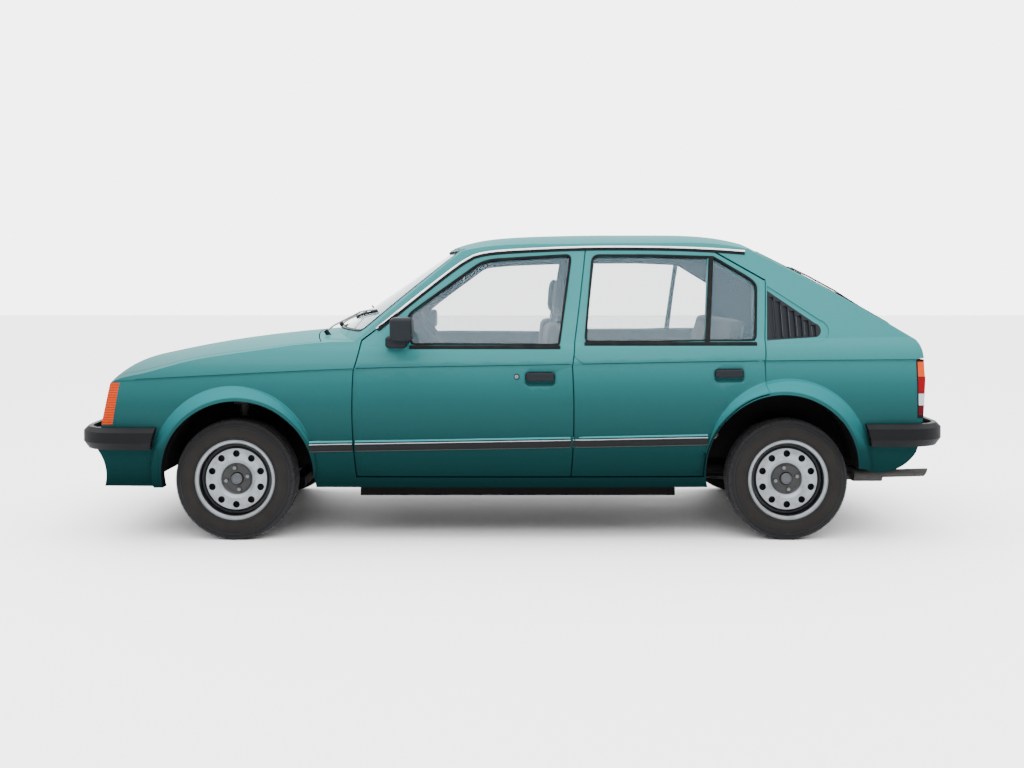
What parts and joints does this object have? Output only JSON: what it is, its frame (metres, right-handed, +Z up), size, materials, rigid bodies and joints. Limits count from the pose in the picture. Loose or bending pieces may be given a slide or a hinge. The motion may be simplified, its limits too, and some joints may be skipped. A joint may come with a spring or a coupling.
{
  "type": "five-door compact hatchback car",
  "caption": "Small five-door hatchback with opening doors, bonnet and tailgate, rolling wheels and working steering.",
  "frame": {"origin": "on the ground under the middle of the car, midway between the bumper faces", "axes": "-X forwards, +X towards the tail, -Y to the car's left, +Z up"},
  "size_m": [3.998, 1.862, 1.412],
  "materials": {
    "paint": "metallic teal green, clear lacquer",
    "underbody": "dark satin underbody paint",
    "black_plastic": "grained black plastic",
    "glass": "clear tinted glass",
    "lamp_glass": "fluted clear glass",
    "amber_lens": "amber lens",
    "red_lens": "red lens",
    "bare_steel": "dark chassis steel",
    "silver_steel": "silver wheel paint",
    "engine_iron": "cast iron",
    "exhaust_steel": "weathered steel",
    "tank_metal": "satin black",
    "seat_cloth": "grey beige woven cloth",
    "dash_plastic": "grained black plastic",
    "tyre": "black rubber"
  },
  "bodies": {
    "body": {"floor_pan": "underbody", "rear_floor": "underbody", "bulkhead": "underbody", "inner_wings": "underbody", "body_sides": "paint", "roof_panel": "paint", "front_fenders": "paint", "nose_panel": "paint", "rear_valance": "paint", "windscreen": "glass", "grille": "black_plastic", "headlamps": "lamp_glass", "front_indicators": "amber_lens", "tail_lamps": "red_lens", "side_vents": "black_plastic", "front_bumper": "black_plastic", "rear_bumper": "black_plastic", "front_suspension": "bare_steel", "rear_axle": "bare_steel", "exhaust": "exhaust_steel", "front_seat_left": "seat_cloth", "front_seat_right": "seat_cloth", "rear_seat": "seat_cloth", "dashboard": "dash_plastic", "inner_mirror": "black_plastic", "engine": "engine_iron", "fuel_tank": "tank_metal"},
    "bonnet": {"bonnet": "paint"},
    "tailgate": {"tailgate": "paint", "tailgate_glass": "glass"},
    "steering_wheel": {"steering_wheel": "dash_plastic"},
    "door_front_left": {"door_front_left": "paint", "glass_front_left": "glass", "mirror_left": "black_plastic"},
    "door_rear_left": {"door_rear_left": "paint", "glass_rear_left": "glass"},
    "knuckle_left": {"knuckle_left": "bare_steel"},
    "wheel_front_left": {"rim_front_left": "silver_steel", "tyre_front_left": "tyre"},
    "wheel_rear_left": {"rim_rear_left": "silver_steel", "tyre_rear_left": "tyre"},
    "door_front_right": {"door_front_right": "paint", "glass_front_right": "glass", "mirror_right": "black_plastic"},
    "door_rear_right": {"door_rear_right": "paint", "glass_rear_right": "glass"},
    "knuckle_right": {"knuckle_right": "bare_steel"},
    "wheel_front_right": {"rim_front_right": "silver_steel", "tyre_front_right": "tyre"},
    "wheel_rear_right": {"rim_rear_right": "silver_steel", "tyre_rear_right": "tyre"}
  },
  "joints": [
    {"name": "steering_wheel_turn", "type": "hinge", "parent": "body", "child": "steering_wheel", "pos_m": [-0.349, -0.368, 0.875], "axis": [0.8434, 0, 0.5373], "range_deg": [-480, 480]},
    {"name": "steer_left", "type": "hinge", "parent": "body", "child": "knuckle_left", "pos_m": [-1.259, -0.6, 0.165], "axis": [0, 0.1961, 0.9806], "range_deg": [-31, 31]},
    {"name": "roll_front_left", "type": "hinge", "parent": "knuckle_left", "child": "wheel_front_left", "pos_m": [-1.259, -0.65, 0.275], "axis": [0, 1, 0], "continuous": true},
    {"name": "roll_rear_left", "type": "hinge", "parent": "body", "child": "wheel_rear_left", "pos_m": [1.255, -0.65, 0.275], "axis": [0, 1, 0], "continuous": true},
    {"name": "door_front_left_swing", "type": "hinge", "parent": "body", "child": "door_front_left", "pos_m": [-0.735, -0.803, 0.6], "axis": [0, 0, -1], "range_deg": [0, 65]},
    {"name": "door_rear_left_swing", "type": "hinge", "parent": "body", "child": "door_rear_left", "pos_m": [0.25, -0.803, 0.6], "axis": [0, 0, -1], "range_deg": [0, 65]},
    {"name": "steer_right", "type": "hinge", "parent": "body", "child": "knuckle_right", "pos_m": [-1.259, 0.6, 0.165], "axis": [0, -0.1961, 0.9806], "range_deg": [-31, 31]},
    {"name": "roll_front_right", "type": "hinge", "parent": "knuckle_right", "child": "wheel_front_right", "pos_m": [-1.259, 0.65, 0.275], "axis": [0, 1, 0], "continuous": true},
    {"name": "roll_rear_right", "type": "hinge", "parent": "body", "child": "wheel_rear_right", "pos_m": [1.255, 0.65, 0.275], "axis": [0, 1, 0], "continuous": true},
    {"name": "door_front_right_swing", "type": "hinge", "parent": "body", "child": "door_front_right", "pos_m": [-0.735, 0.803, 0.6], "axis": [0, 0, 1], "range_deg": [0, 65]},
    {"name": "door_rear_right_swing", "type": "hinge", "parent": "body", "child": "door_rear_right", "pos_m": [0.25, 0.803, 0.6], "axis": [0, 0, 1], "range_deg": [0, 65]},
    {"name": "bonnet_lift", "type": "hinge", "parent": "body", "child": "bonnet", "pos_m": [-0.846, 0, 0.938], "axis": [0, 1, 0], "range_deg": [0, 55]},
    {"name": "tailgate_lift", "type": "hinge", "parent": "body", "child": "tailgate", "pos_m": [1.121, 0, 1.373], "axis": [0, -1, 0], "range_deg": [0, 80]}
  ],
  "couplings": [
    {"joint": "steer_left", "follows": "steering_wheel_turn", "ratio": 0.0625},
    {"joint": "steer_right", "follows": "steering_wheel_turn", "ratio": 0.0625}
  ]
}
